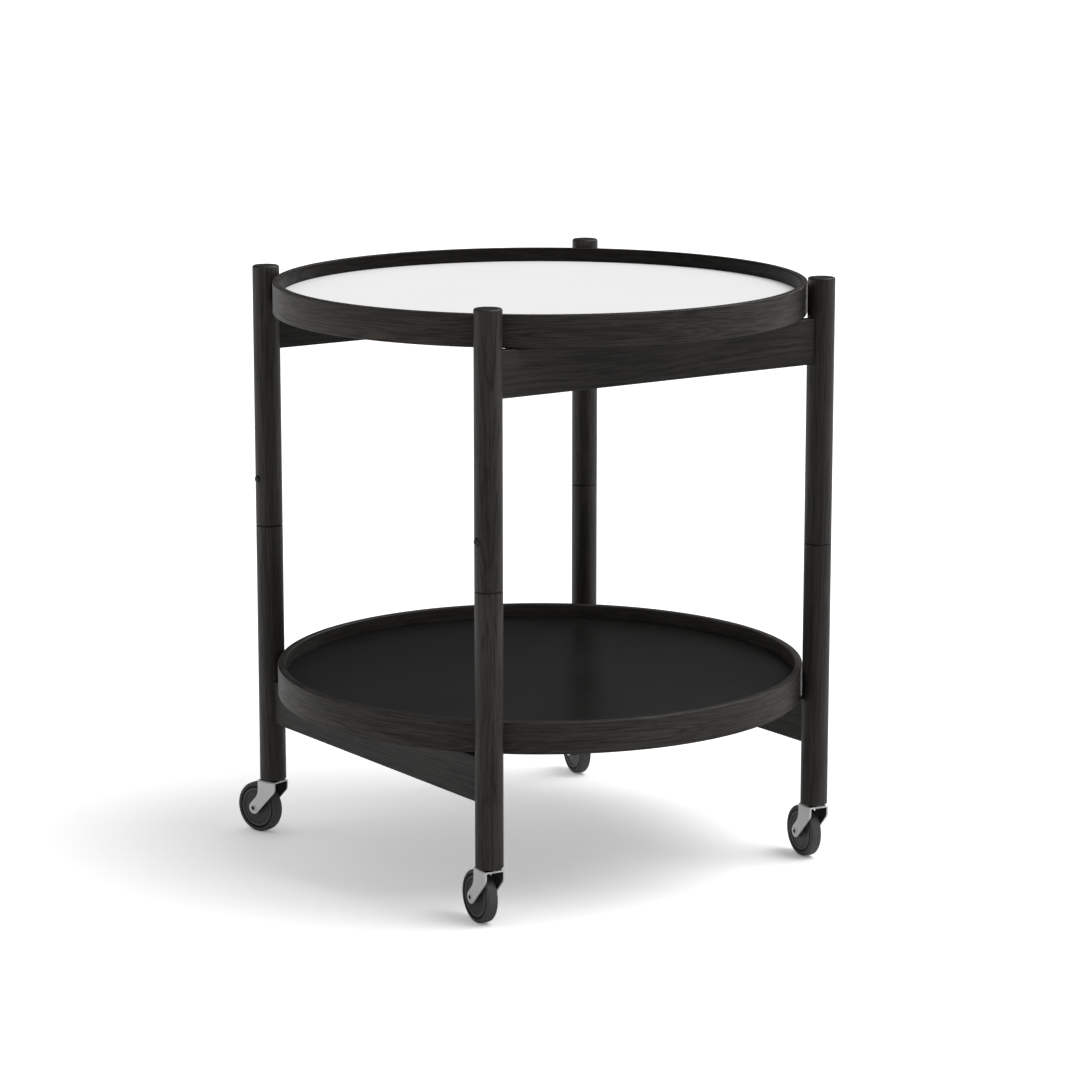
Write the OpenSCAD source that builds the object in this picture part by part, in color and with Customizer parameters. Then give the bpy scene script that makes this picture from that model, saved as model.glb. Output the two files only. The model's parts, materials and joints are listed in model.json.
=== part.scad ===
// Folding round tray table: a hinged four-leg frame on castors that carries two loose reversible trays.
// The upper rails run along X and the lower rails along Y, so the two storeys cross at every leg.
// Each leg is cut in two at mid height and turns there on a pin.
// Left, front, right and back name the legs as seen from the corner where x and y are least.
// Every length is in millimetres, and z = 0 is the floor under the wheels.

/* [Trays] */
// Outer diameter of each tray
tray_d = 500; // [440:5:560]
// Height of a tray's bent rim
rim_h = 29.5; // [24:0.5:36]
// Thickness of a tray's bent rim
rim_t = 7; // [6:0.5:10]
// Radius on the rim's edges
rim_edge_r = 1.2; // [0.5:0.1:2]
// Depth of the groove that holds the panel's core in the rim
rim_groove = 3; // [2:0.5:4]
// Thickness of the panel's core board
core_t = 2; // [1.5:0.5:4]
// Thickness of the laminate on each face of the panel
laminate_t = 0.5; // [0.4:0.1:1]
// Gap between a seated tray's rim and each leg
tray_clear = 1.2; // [1:0.1:2]
// Gap between a seated tray and the rails under it
tray_seat = 0.3; // [0.2:0.05:0.5]

/* [Legs] */
// Diameter of the round legs
leg_d = 25.5; // [24:0.5:32]
// Length of a lower leg half
lower_leg_l = 252; // [230:1:270]
// Length of an upper leg half
upper_leg_l = 250; // [230:1:270]
// Radius on the top edge of a leg
leg_top_r = 1.8; // [0.5:0.1:3]
// Radius on the edges of the leg halves at the pivot
leg_end_r = 0.6; // [0.3:0.1:1]
// Radius on the edge of a leg's foot
leg_foot_r = 1.2; // [0.5:0.1:1.6]

/* [Rails] */
// Height of a rail
rail_h = 43; // [36:1:50]
// Thickness of a rail
rail_t = 10; // [9:0.5:14]
// Radius on the long edges of a rail
rail_edge_r = 1.8; // [0.5:0.1:3]
// Distance from the top of the legs down to the top of the upper rails
upper_rail_drop = 37.2; // [33:0.2:45]
// Height of the underside of the lower rails above the foot of the legs
lower_rail_rise = 57.5; // [50:0.1:70]
// Thickness of the tenon on each rail end
tenon_t = 6; // [4:0.5:7]
// Height that the tenon is cut back from the rail's top and bottom
tenon_shoulder = 6; // [4:0.5:8]
// Distance from the leg's axis to the end of the tenon
tenon_reach = 4; // [3:0.5:6]

/* [Leg pivots] */
// Diameter of the pivot pins
pin_d = 8; // [7:0.5:9]
// Length of a pin in the lower leg half
pin_low = 45; // [35:1:60]
// Length of a pin above the lock screw's axis
pin_over = 7; // [6:0.5:12]
// Radial clearance of the upper leg half on the pin
pin_clear = 0.05; // [0.02:0.01:0.08]
// Width of the groove that the lock screw's tip runs in
groove_w = 5; // [4.8:0.1:6]
// Depth of that groove
groove_depth = 1.3; // [1.2:0.1:1.6]
// Thickness of the washer between the leg halves
washer_t = 0.5; // [0.4:0.1:1]
// Width that the washer is set back from the leg's surface
washer_set = 0.6; // [0.4:0.1:1.5]
// Running gap above the washer
washer_gap = 0.1; // [0.05:0.05:0.2]

/* [Lock screws] */
// Height of the lock screws above the foot of the upper leg halves
screw_rise = 45; // [35:1:60]
// Diameter of the screw's shank
screw_d = 4; // [3.5:0.1:4.2]
// Diameter of the domed head
head_d = 7.7; // [7:0.1:9]
// Height of the domed head
head_h = 2.3; // [2:0.1:3]
// Depth of the flat seat that is cut for the head
head_seat = 0.7; // [0.7:0.1:1.2]
// Size across the flats of the key socket in the head
key_w = 2.5; // [2:0.5:3]
// Depth of the key socket
key_depth = 1.2; // [0.8:0.1:1.6]
// Gap between the screw's tip and the floor of the groove
tip_gap = 0.35; // [0.3:0.05:0.5]

/* [Castor wheels] */
// Diameter of the wheels
wheel_d = 49.2; // [45:0.2:60]
// Width of the tyre
tyre_w = 11; // [10:0.5:16]
// Thickness of the tyre between its tread and the hub
tyre_t = 4.6; // [3.5:0.1:6]
// Radius on the edges of the tread
tread_r = 2.2; // [1:0.1:3]
// Width of the raised ring on the hub's faces
ring_w = 1.9; // [1.2:0.1:3]
// Width of the groove between that ring and the tyre
ring_groove_w = 1.1; // [0.6:0.1:2]
// Depth of that groove
ring_groove_depth = 1.1; // [0.5:0.1:2]
// Depth of the hub's web below the ring
web_depth = 0.9; // [0.8:0.1:3]
// Diameter of the hub's boss
boss_d = 12; // [10:0.5:14]
// Length that the boss stands out past the tyre on each side
boss_proud = 2.6; // [0.5:0.1:4]
// Diameter of the axle
axle_d = 5; // [4.5:0.5:6]
// Radial clearance of the hub on the axle
axle_clear = 0.05; // [0.02:0.01:0.08]
// Diameter of the axle's rivet heads
axle_head_d = 6.6; // [6.2:0.1:8.5]
// Height of the axle's rivet heads
axle_head_h = 0.9; // [0.6:0.1:1.5]
// Diameter of the hollow in each end of the axle
axle_hollow_d = 3.8; // [2:0.1:3.8]
// Depth of that hollow
axle_hollow = 3; // [1:0.5:4]

/* [Castor forks] */
// Distance from the leg's axis back to the wheel's axle
trail = 17.4; // [15:0.2:22]
// Thickness of the fork's sheet
fork_t = 1.6; // [1.2:0.1:2]
// Outer radius of the fork's two bends
fork_bend_r = 2.2; // [1.8:0.1:3]
// Gap between the wheel's boss and each cheek
cheek_gap = 0.3; // [0.25:0.05:0.6]
// Height of the fork's top face above the wheel
crown_gap = 4.9; // [3.2:0.1:6]
// Distance from the leg's axis to the front edge of the fork
fork_front = 10.1; // [10:0.1:13]
// Distance from the leg's axis to the rear edge of the fork's crown
fork_rear = 11.6; // [10.5:0.1:13]
// Radius of the cheeks round the axle
cheek_tip_r = 5.9; // [5:0.1:7]
// Slope of the cheeks
cheek_slope = 46; // [42:1:50]
// Radius of the bend in the cheeks' front edge
front_bend_r = 7; // [4:0.5:9]
// Radius of the bend in the cheeks' rear edge
rear_bend_r = 12; // [6:0.5:14]
// Diameter of the stop nib on the crown
nib_d = 1.6; // [1.2:0.1:1.6]
// Height of the stop nib
nib_h = 0.8; // [0.4:0.1:0.8]
// Directions in which the wheels trail, for the left, front, right and back castors
castor_turns = [107, 85, 81, 79];

/* [Castor stems] */
// Diameter of the stem
stem_d = 8; // [7:0.5:9]
// Length of the stem inside the leg
stem_l = 32; // [25:1:38]
// Diameter of the stem's neck in the fork
neck_d = 7; // [6:0.5:7]
// Radial clearance of the fork on the neck
neck_clear = 0.05; // [0.02:0.01:0.08]
// Running gap above and below the fork's crown
crown_play = 0.1; // [0.05:0.05:0.15]
// Diameter of the collar above the fork
collar_d = 15.6; // [14:0.2:15.6]
// Thickness of the collar
collar_t = 1.2; // [1.1:0.1:2]
// Diameter of the riveted head under the crown
stem_head_d = 10.4; // [9:0.2:11]
// Thickness of the riveted head
stem_head_t = 1.2; // [0.8:0.1:1.4]
// Wall of the socket sleeve
socket_wall = 1.5; // [1:0.1:2]
// Diameter of the socket's flange, let into the leg's foot
flange_d = 20; // [16:0.5:22]
// Thickness of the socket's flange
flange_t = 0.9; // [0.6:0.1:1.5]
// Space above the end of the stem
stem_head_room = 1; // [0.5:0.5:3]

/* [Fits] */
// Gap all round glued and pressed joints
joint_gap = 0.04; // [0.02:0.01:0.06]

/* [Hidden] */
$fn = 96;

stained_wood = "#393734";
core_board = "#6e5b45";
white_laminate = "#ececec";
black_laminate = "#242424";
zinc_steel = "#b6b7b9";
dark_steel = "#3a3b3d";
black_nylon = "#202020";
hub_grey = "#3a3a3b";
tyre_grey = "#454546";

// A hair of extra length that carries a cutting tool past the face that it opens
past = 1;

leg_r = leg_d / 2;
tray_r = tray_d / 2;
wheel_r = wheel_d / 2;

// Half the side of the square that the four leg axes stand on
leg_half = (tray_r + tray_clear + leg_r) / sqrt(2);
left_at = [-leg_half, leg_half];
front_at = [-leg_half, -leg_half];
right_at = [leg_half, -leg_half];
back_at = [leg_half, leg_half];

// Heights, from the floor up
axle_z = wheel_r;
crown_z = wheel_d + crown_gap;
collar_z = crown_z + crown_play;
leg_foot_z = collar_z + collar_t;
lower_rail_z = leg_foot_z + lower_rail_rise;
lower_tray_z = lower_rail_z + rail_h + tray_seat;
split_z = leg_foot_z + lower_leg_l;
upper_foot_z = split_z + washer_t + washer_gap;
screw_z = upper_foot_z + screw_rise;
leg_top_z = upper_foot_z + upper_leg_l;
upper_rail_z = leg_top_z - upper_rail_drop - rail_h;
upper_tray_z = upper_rail_z + rail_h + tray_seat;

// The panel lies in the middle of the rim's height, so that a tray can be turned over
panel_t = core_t + 2 * laminate_t;
core_r = tray_r - rim_t + rim_groove - joint_gap;
laminate_r = tray_r - rim_t - joint_gap;
panel_rise = (rim_h - panel_t) / 2;

// Bores in the legs
pin_bore_d = pin_d + 2 * pin_clear;
pin_top = screw_rise + pin_over;
socket_d = stem_d + 2 * joint_gap + 2 * socket_wall;
socket_l = stem_l + stem_head_room;

// The lock screw, measured outwards from the leg's axis
head_base = leg_r - head_seat;
tip_base = pin_d / 2 - groove_depth + tip_gap;

// The fork, measured from the axle
boss_l = tyre_w + 2 * boss_proud;
fork_inside = boss_l + 2 * cheek_gap;
fork_w = fork_inside + 2 * fork_t;
crown_rise = crown_z - axle_z;
hub_r = wheel_r - tyre_t;

// Points along the arc that rounds the corner between two straight edges
corner_steps = 8;
function unit(v) = v / norm(v);
function shortest(a) = a > 180 ? a - 360 : (a < -180 ? a + 360 : a);
function round_corner(before, corner, after, r) =
  let(
    back = unit(before - corner),
    ahead = unit(after - corner),
    half = acos(back * ahead) / 2,
    centre = corner + unit(back + ahead) * r / sin(half),
    from = corner + back * r / tan(half) - centre,
    to = corner + ahead * r / tan(half) - centre,
    start = atan2(from[1], from[0]),
    sweep = shortest(atan2(to[1], to[0]) - start)
  )
  [
    for (i = [0 : corner_steps])
    let(a = start + sweep * i / corner_steps)
    centre + r * [cos(a), sin(a)]
  ];

// Outline of a fork cheek, with the leg's axis at x = 0 and the axle at y = 0
function cheek_outline() =
  let(
    along = [cos(cheek_slope), -sin(cheek_slope)],
    across = [sin(cheek_slope), cos(cheek_slope)],
    axle = [trail, 0],
    low = axle - cheek_tip_r * across,
    high = axle + cheek_tip_r * across,
    front_corner = low - along * (low[0] + fork_front) / along[0],
    rear_corner = high - along * (high[0] - fork_rear) / along[0],
    front_top = [-fork_front, crown_rise],
    rear_top = [fork_rear, crown_rise]
  )
  concat(
    [front_top],
    round_corner(front_top, front_corner, low, front_bend_r),
    [low, high],
    round_corner(high, rear_corner, rear_top, rear_bend_r),
    [rear_top]
  );

// A rectangle from the origin, with all four corners rounded
module rounded_rectangle(w, h, r) {
  translate([r, 0]) square([w - 2 * r, h]);
  translate([0, r]) square([w, h - 2 * r]);
  for (x = [r, w - r])
    for (y = [r, h - r])
      translate([x, y]) circle(r);
}

// Half section of a round bar that stands on y = 0, with a radius at its foot and its top
module bar_section(r, l, foot_r, top_r) {
  square([r - max(foot_r, top_r), l]);
  translate([0, foot_r]) square([r, l - foot_r - top_r]);
  square([r - foot_r, l / 2]);
  translate([0, l / 2]) square([r - top_r, l / 2]);
  translate([r - foot_r, foot_r]) circle(foot_r);
  translate([r - top_r, l - top_r]) circle(top_r);
}

// A pocket for a rail's tenon, opening towards +X
module mortise(z) {
  side = tenon_t + 2 * joint_gap;
  tall = rail_h - 2 * tenon_shoulder + 2 * joint_gap;
  translate([tenon_reach - joint_gap, -side / 2, z + tenon_shoulder - joint_gap])
    cube([leg_r, side, tall]);
}

// Upper half of a leg, with its rail along +X and its lock screw on the other side
module upper_leg(at, turn) {
  color(stained_wood)
  translate([at[0], at[1], upper_foot_z])
  rotate(turn)
  difference() {
    rotate_extrude() bar_section(leg_r, upper_leg_l, leg_end_r, leg_top_r);
    mortise(upper_rail_z - upper_foot_z);
    translate([0, 0, -past]) cylinder(d = pin_bore_d, h = past + pin_top + tip_gap);
    translate([0, 0, screw_rise])
    rotate([0, -90, 0]) {
      cylinder(d = screw_d + 2 * joint_gap, h = leg_r);
      translate([0, 0, head_base - joint_gap]) cylinder(d = head_d + 4 * joint_gap, h = leg_r);
    }
  }
}

// Lower half of a leg, with its rail along +X
module lower_leg(at, turn) {
  color(stained_wood)
  translate([at[0], at[1], leg_foot_z])
  rotate(turn)
  difference() {
    rotate_extrude() bar_section(leg_r, lower_leg_l, leg_foot_r, leg_end_r);
    mortise(lower_rail_rise);
    translate([0, 0, lower_leg_l - pin_low - joint_gap]) cylinder(d = pin_d + 2 * joint_gap, h = leg_d + pin_low);
    translate([0, 0, -past]) cylinder(d = socket_d + 2 * joint_gap, h = past + socket_l + joint_gap);
    translate([0, 0, -past]) cylinder(d = flange_d + 2 * joint_gap, h = past + flange_t + joint_gap);
  }
}

// A rail along X between two legs, coped to their round sides and tenoned into them
module rail(z) {
  reach = leg_half - tenon_reach;
  difference() {
    translate([-leg_half, 0, z])
    rotate([90, 0, 90])
    translate([-rail_t / 2, 0])
    linear_extrude(2 * leg_half) rounded_rectangle(rail_t, rail_h, rail_edge_r);
    for (side = [-1, 1])
      translate([side * leg_half, 0, z - past]) cylinder(r = leg_r + joint_gap, h = rail_h + 2 * past);
  }
  translate([-reach, -tenon_t / 2, z + tenon_shoulder])
    cube([2 * reach, tenon_t, rail_h - 2 * tenon_shoulder]);
}

module upper_rail(y) {
  color(stained_wood) translate([0, y, 0]) rail(upper_rail_z);
}

module lower_rail(x) {
  color(stained_wood) translate([x, 0, 0]) rotate(90) rail(lower_rail_z);
}

// Steel pin that stands in a lower leg half and carries the upper half, grooved for the lock screw
module pivot_pin(at) {
  above = washer_t + washer_gap;
  color(zinc_steel)
  translate([at[0], at[1], split_z])
  difference() {
    translate([0, 0, -pin_low]) cylinder(d = pin_d, h = pin_low + above + pin_top);
    translate([0, 0, above + screw_rise - groove_w / 2])
    difference() {
      cylinder(d = pin_d + past, h = groove_w);
      cylinder(d = pin_d - 2 * groove_depth, h = groove_w);
    }
  }
}

// Thin washer in the joint between the leg halves
module pivot_washer(at) {
  color(black_nylon)
  translate([at[0], at[1], split_z])
  difference() {
    cylinder(r = leg_r - washer_set, h = washer_t);
    translate([0, 0, -past]) cylinder(d = pin_d + 2 * joint_gap, h = washer_t + 2 * past);
  }
}

// Domed screw whose tip runs in the pin's groove, standing out along -X for a turn of 0
module lock_screw(at, turn) {
  dome_r = (head_h * head_h + head_d * head_d / 4) / (2 * head_h);
  color(dark_steel)
  translate([at[0], at[1], screw_z])
  rotate(turn)
  rotate([0, -90, 0])
  difference() {
    union() {
      translate([0, 0, tip_base]) cylinder(d = screw_d, h = head_base - tip_base + head_h / 4);
      translate([0, 0, head_base])
      intersection() {
        cylinder(d = head_d, h = head_h);
        translate([0, 0, head_h - dome_r]) sphere(dome_r);
      }
    }
    translate([0, 0, head_base + head_h - key_depth])
      cylinder(d = key_w / cos(30), h = key_depth + past, $fn = 6);
  }
}

module lock_screw_pair(first, second) {
  lock_screw(first, 0);
  lock_screw(second, 180);
}

// Bent hoop with rounded edges and a groove for the panel's core
module tray_rim(z) {
  groove_h = core_t + 2 * joint_gap;
  color(stained_wood)
  translate([0, 0, z])
  rotate_extrude($fn = 180)
  difference() {
    translate([tray_r - rim_t, 0]) rounded_rectangle(rim_t, rim_h, rim_edge_r);
    translate([tray_r - rim_t - past, (rim_h - groove_h) / 2]) square([past + rim_groove, groove_h]);
  }
}

// Core board of a tray's panel, glued into the rim's groove
module panel_core(z) {
  color(core_board)
  translate([0, 0, z + panel_rise + laminate_t])
  cylinder(r = core_r, h = core_t, $fn = 180);
}

// Laminate on one face of the core board, cut to the inside of the rim
module panel_laminate(z, rise, tone) {
  color(tone)
  translate([0, 0, z + panel_rise + rise])
  cylinder(r = laminate_r, h = laminate_t, $fn = 180);
}

// Puts a castor piece under its leg, with the wheel trailing along the given direction
module castor_at(at, turn) {
  translate([at[0], at[1], 0]) rotate(turn) children();
}

// Sleeve in the foot of a leg, with its flange let in flush
module castor_socket(at) {
  bore_d = stem_d + 2 * joint_gap;
  color(zinc_steel)
  translate([at[0], at[1], leg_foot_z])
  difference() {
    union() {
      cylinder(d = socket_d, h = socket_l);
      cylinder(d = flange_d, h = flange_t);
    }
    translate([0, 0, -past]) cylinder(d = bore_d, h = socket_l + 2 * past);
  }
}

// Stem with its collar, the neck that the fork turns on, and the riveted head under the crown
module castor_stem(at) {
  neck_l = fork_t + 2 * crown_play;
  color(dark_steel)
  translate([at[0], at[1], collar_z]) {
    cylinder(d = collar_d, h = collar_t);
    cylinder(d = stem_d, h = collar_t + stem_l);
    translate([0, 0, -neck_l]) cylinder(d = neck_d, h = neck_l + collar_t);
    translate([0, 0, -neck_l - stem_head_t]) cylinder(d = stem_head_d, h = stem_head_t);
  }
}

// End view of the folded sheet, looking along the fork, with the axle at y = 0
module fork_section() {
  inner_r = fork_bend_r - fork_t;
  depth = crown_rise + 2 * cheek_tip_r;
  difference() {
    translate([-fork_w / 2, crown_rise - depth]) rounded_rectangle(fork_w, depth, fork_bend_r);
    translate([-fork_inside / 2, crown_rise - fork_t - 2 * depth])
      rounded_rectangle(fork_inside, 2 * depth, inner_r);
  }
}

// Fork folded from one sheet: a crown with a bore for the neck and two sloping cheeks
module castor_fork(at, turn) {
  long = fork_front + trail + 2 * cheek_tip_r;
  color(zinc_steel)
  castor_at(at, turn)
  difference() {
    union() {
      intersection() {
        translate([0, 0, axle_z])
        rotate([90, 0, 0])
        linear_extrude(fork_w + 2 * past, center = true) {
          polygon(cheek_outline());
          translate([trail, 0]) circle(cheek_tip_r);
        }
        translate([-fork_front - past, 0, axle_z])
        rotate([90, 0, 90])
        linear_extrude(long + 2 * past) fork_section();
      }
      translate([-(collar_d / 2 + fork_front) / 2, 0, crown_z - fork_t / 2])
        cylinder(d = nib_d, h = fork_t / 2 + nib_h);
    }
    translate([0, 0, crown_z - 2 * fork_t]) cylinder(d = neck_d + 2 * neck_clear, h = 4 * fork_t);
    translate([trail, 0, axle_z])
    rotate([90, 0, 0])
    cylinder(d = axle_d + 2 * joint_gap, h = fork_w + 2 * past, center = true);
  }
}

// Axle riveted over both cheeks, with a hollow in each end
module castor_axle(at, turn) {
  color(zinc_steel)
  castor_at(at, turn)
  translate([trail, 0, axle_z])
  rotate([90, 0, 0])
  difference() {
    union() {
      cylinder(d = axle_d, h = fork_w + 2 * axle_head_h, center = true);
      for (side = [-1, 1])
        translate([0, 0, side * (fork_w + axle_head_h) / 2])
          cylinder(d = axle_head_d, h = axle_head_h, center = true);
    }
    for (side = [-1, 1])
      translate([0, 0, side * (fork_w / 2 + axle_head_h)])
        cylinder(d = axle_hollow_d, h = 2 * axle_hollow, center = true);
  }
}

// Half section of the hub above its mid plane, from the bore out to the tyre
function hub_outline() =
  let(
    bore_r = axle_d / 2 + axle_clear,
    ring_out = hub_r - ring_groove_w,
    ring_in = ring_out - ring_w,
    face = tyre_w / 2,
    upper = [
      [bore_r, boss_l / 2],
      [boss_d / 2, boss_l / 2],
      [boss_d / 2, face - web_depth],
      [ring_in - web_depth / 2, face - web_depth],
      [ring_in, face],
      [ring_out, face],
      [ring_out, face - ring_groove_depth],
      [hub_r - joint_gap, face - ring_groove_depth]
    ],
    last = len(upper) - 1
  )
  concat(upper, [for (i = [last : -1 : 0]) [upper[i][0], -upper[i][1]]]);

// Moulded hub with a boss, a thin web and a raised ring on both faces
module castor_hub(at, turn) {
  color(hub_grey)
  castor_at(at, turn)
  translate([trail, 0, axle_z])
  rotate([90, 0, 0])
  rotate_extrude() polygon(hub_outline());
}

// Tyre moulded round the hub
module castor_tyre(at, turn) {
  color(tyre_grey)
  castor_at(at, turn)
  translate([trail, 0, axle_z])
  rotate([90, 0, 0])
  rotate_extrude()
  difference() {
    translate([0, -tyre_w / 2]) rounded_rectangle(wheel_r, tyre_w, tread_r);
    translate([-past, -tyre_w]) square([past + hub_r, 2 * tyre_w]);
  }
}

upper_leg(left_at, 0);  // upper_leg_left
upper_leg(front_at, 0);  // upper_leg_front
upper_leg(right_at, 180);  // upper_leg_right
upper_leg(back_at, 180);  // upper_leg_back
lower_leg(left_at, -90);  // lower_leg_left
lower_leg(front_at, 90);  // lower_leg_front
lower_leg(right_at, 90);  // lower_leg_right
lower_leg(back_at, -90);  // lower_leg_back

upper_rail(-leg_half);  // upper_front_rail
upper_rail(leg_half);  // upper_back_rail
lower_rail(-leg_half);  // lower_left_rail
lower_rail(leg_half);  // lower_right_rail

pivot_pin(left_at);  // pivot_pin_left
pivot_pin(front_at);  // pivot_pin_front
pivot_pin(right_at);  // pivot_pin_right
pivot_pin(back_at);  // pivot_pin_back
pivot_washer(left_at);  // pivot_washer_left
pivot_washer(front_at);  // pivot_washer_front
pivot_washer(right_at);  // pivot_washer_right
pivot_washer(back_at);  // pivot_washer_back
lock_screw_pair(front_at, right_at);  // lock_screws_front
lock_screw_pair(left_at, back_at);  // lock_screws_back

tray_rim(upper_tray_z);  // upper_tray_rim
panel_core(upper_tray_z);  // upper_tray_core
panel_laminate(upper_tray_z, laminate_t + core_t, white_laminate);  // upper_tray_white_laminate
panel_laminate(upper_tray_z, 0, black_laminate);  // upper_tray_black_laminate
tray_rim(lower_tray_z);  // lower_tray_rim
panel_core(lower_tray_z);  // lower_tray_core
panel_laminate(lower_tray_z, laminate_t + core_t, black_laminate);  // lower_tray_black_laminate
panel_laminate(lower_tray_z, 0, white_laminate);  // lower_tray_white_laminate

castor_socket(left_at);  // castor_socket_left
castor_socket(front_at);  // castor_socket_front
castor_socket(right_at);  // castor_socket_right
castor_socket(back_at);  // castor_socket_back
castor_stem(left_at);  // castor_stem_left
castor_stem(front_at);  // castor_stem_front
castor_stem(right_at);  // castor_stem_right
castor_stem(back_at);  // castor_stem_back
castor_fork(left_at, castor_turns[0]);  // castor_fork_left
castor_fork(front_at, castor_turns[1]);  // castor_fork_front
castor_fork(right_at, castor_turns[2]);  // castor_fork_right
castor_fork(back_at, castor_turns[3]);  // castor_fork_back
castor_axle(left_at, castor_turns[0]);  // castor_axle_left
castor_axle(front_at, castor_turns[1]);  // castor_axle_front
castor_axle(right_at, castor_turns[2]);  // castor_axle_right
castor_axle(back_at, castor_turns[3]);  // castor_axle_back
castor_hub(left_at, castor_turns[0]);  // castor_hub_left
castor_hub(front_at, castor_turns[1]);  // castor_hub_front
castor_hub(right_at, castor_turns[2]);  // castor_hub_right
castor_hub(back_at, castor_turns[3]);  // castor_hub_back
castor_tyre(left_at, castor_turns[0]);  // castor_tyre_left
castor_tyre(front_at, castor_turns[1]);  // castor_tyre_front
castor_tyre(right_at, castor_turns[2]);  // castor_tyre_right
castor_tyre(back_at, castor_turns[3]);  // castor_tyre_back
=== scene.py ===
"""Looks of a folding round tray table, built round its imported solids.

The legs, rails, panels and hidden steel parts stay as packed and get their finishes here.
The tray rims, castors and lock screws are modelled again, with softened edges.
Lengths are in metres, and left, front, right and back name the legs as the camera sees them.
"""
import json
import logging
import math
from collections.abc import Callable, Iterable, Sequence
from dataclasses import dataclass, replace
from enum import Enum

import bmesh
import bpy
from bmesh.types import BMEdge, BMesh, BMFace, BMVert
from bpy.types import Material, Node, NodeSocket, NodeTree
from mathutils import Euler, Matrix, Vector


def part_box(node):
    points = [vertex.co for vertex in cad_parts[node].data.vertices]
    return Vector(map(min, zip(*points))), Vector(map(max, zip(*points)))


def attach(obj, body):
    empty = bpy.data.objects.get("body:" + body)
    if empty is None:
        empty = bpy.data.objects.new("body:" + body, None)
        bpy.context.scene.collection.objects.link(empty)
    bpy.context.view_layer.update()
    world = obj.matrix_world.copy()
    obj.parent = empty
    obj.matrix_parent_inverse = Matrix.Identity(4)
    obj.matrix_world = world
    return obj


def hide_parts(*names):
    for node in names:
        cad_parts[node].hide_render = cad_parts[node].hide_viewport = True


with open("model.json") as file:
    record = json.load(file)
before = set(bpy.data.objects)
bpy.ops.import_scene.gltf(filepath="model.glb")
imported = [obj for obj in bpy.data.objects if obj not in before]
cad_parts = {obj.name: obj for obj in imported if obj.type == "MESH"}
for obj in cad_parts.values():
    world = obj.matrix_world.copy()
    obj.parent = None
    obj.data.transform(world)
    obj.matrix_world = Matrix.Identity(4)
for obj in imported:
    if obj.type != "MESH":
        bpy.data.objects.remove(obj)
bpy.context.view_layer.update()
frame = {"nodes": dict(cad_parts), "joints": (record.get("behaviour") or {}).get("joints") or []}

log = logging.getLogger("tray_table")

MM = 0.001
MERGE = 0.001 * MM
SIDES = ("left", "front", "right", "back")
UPRIGHT = Matrix.Rotation(math.radians(90), 4, "X")
Colour = tuple[float, float, float, float]


def tone(code: str, share: float = 1.0) -> Colour:
    """Turn a hex colour into linear light, by the curve that screens use.

    Args:
        code: Six hex digits, as a colour picker shows them.
        share: Factor on the brightness.

    Returns:
        Red, green, blue and an alpha of 1.
    """
    parts = [int(code[i : i + 2], 16) / 255 for i in (0, 2, 4)]
    linear = [p / 12.92 if p <= 0.04045 else ((p + 0.055) / 1.055) ** 2.4 for p in parts]
    return (linear[0] * share, linear[1] * share, linear[2] * share, 1.0)


def radians(*degrees: float) -> list[float]:
    """Turn degrees into radians."""
    return [math.radians(angle) for angle in degrees]


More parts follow.
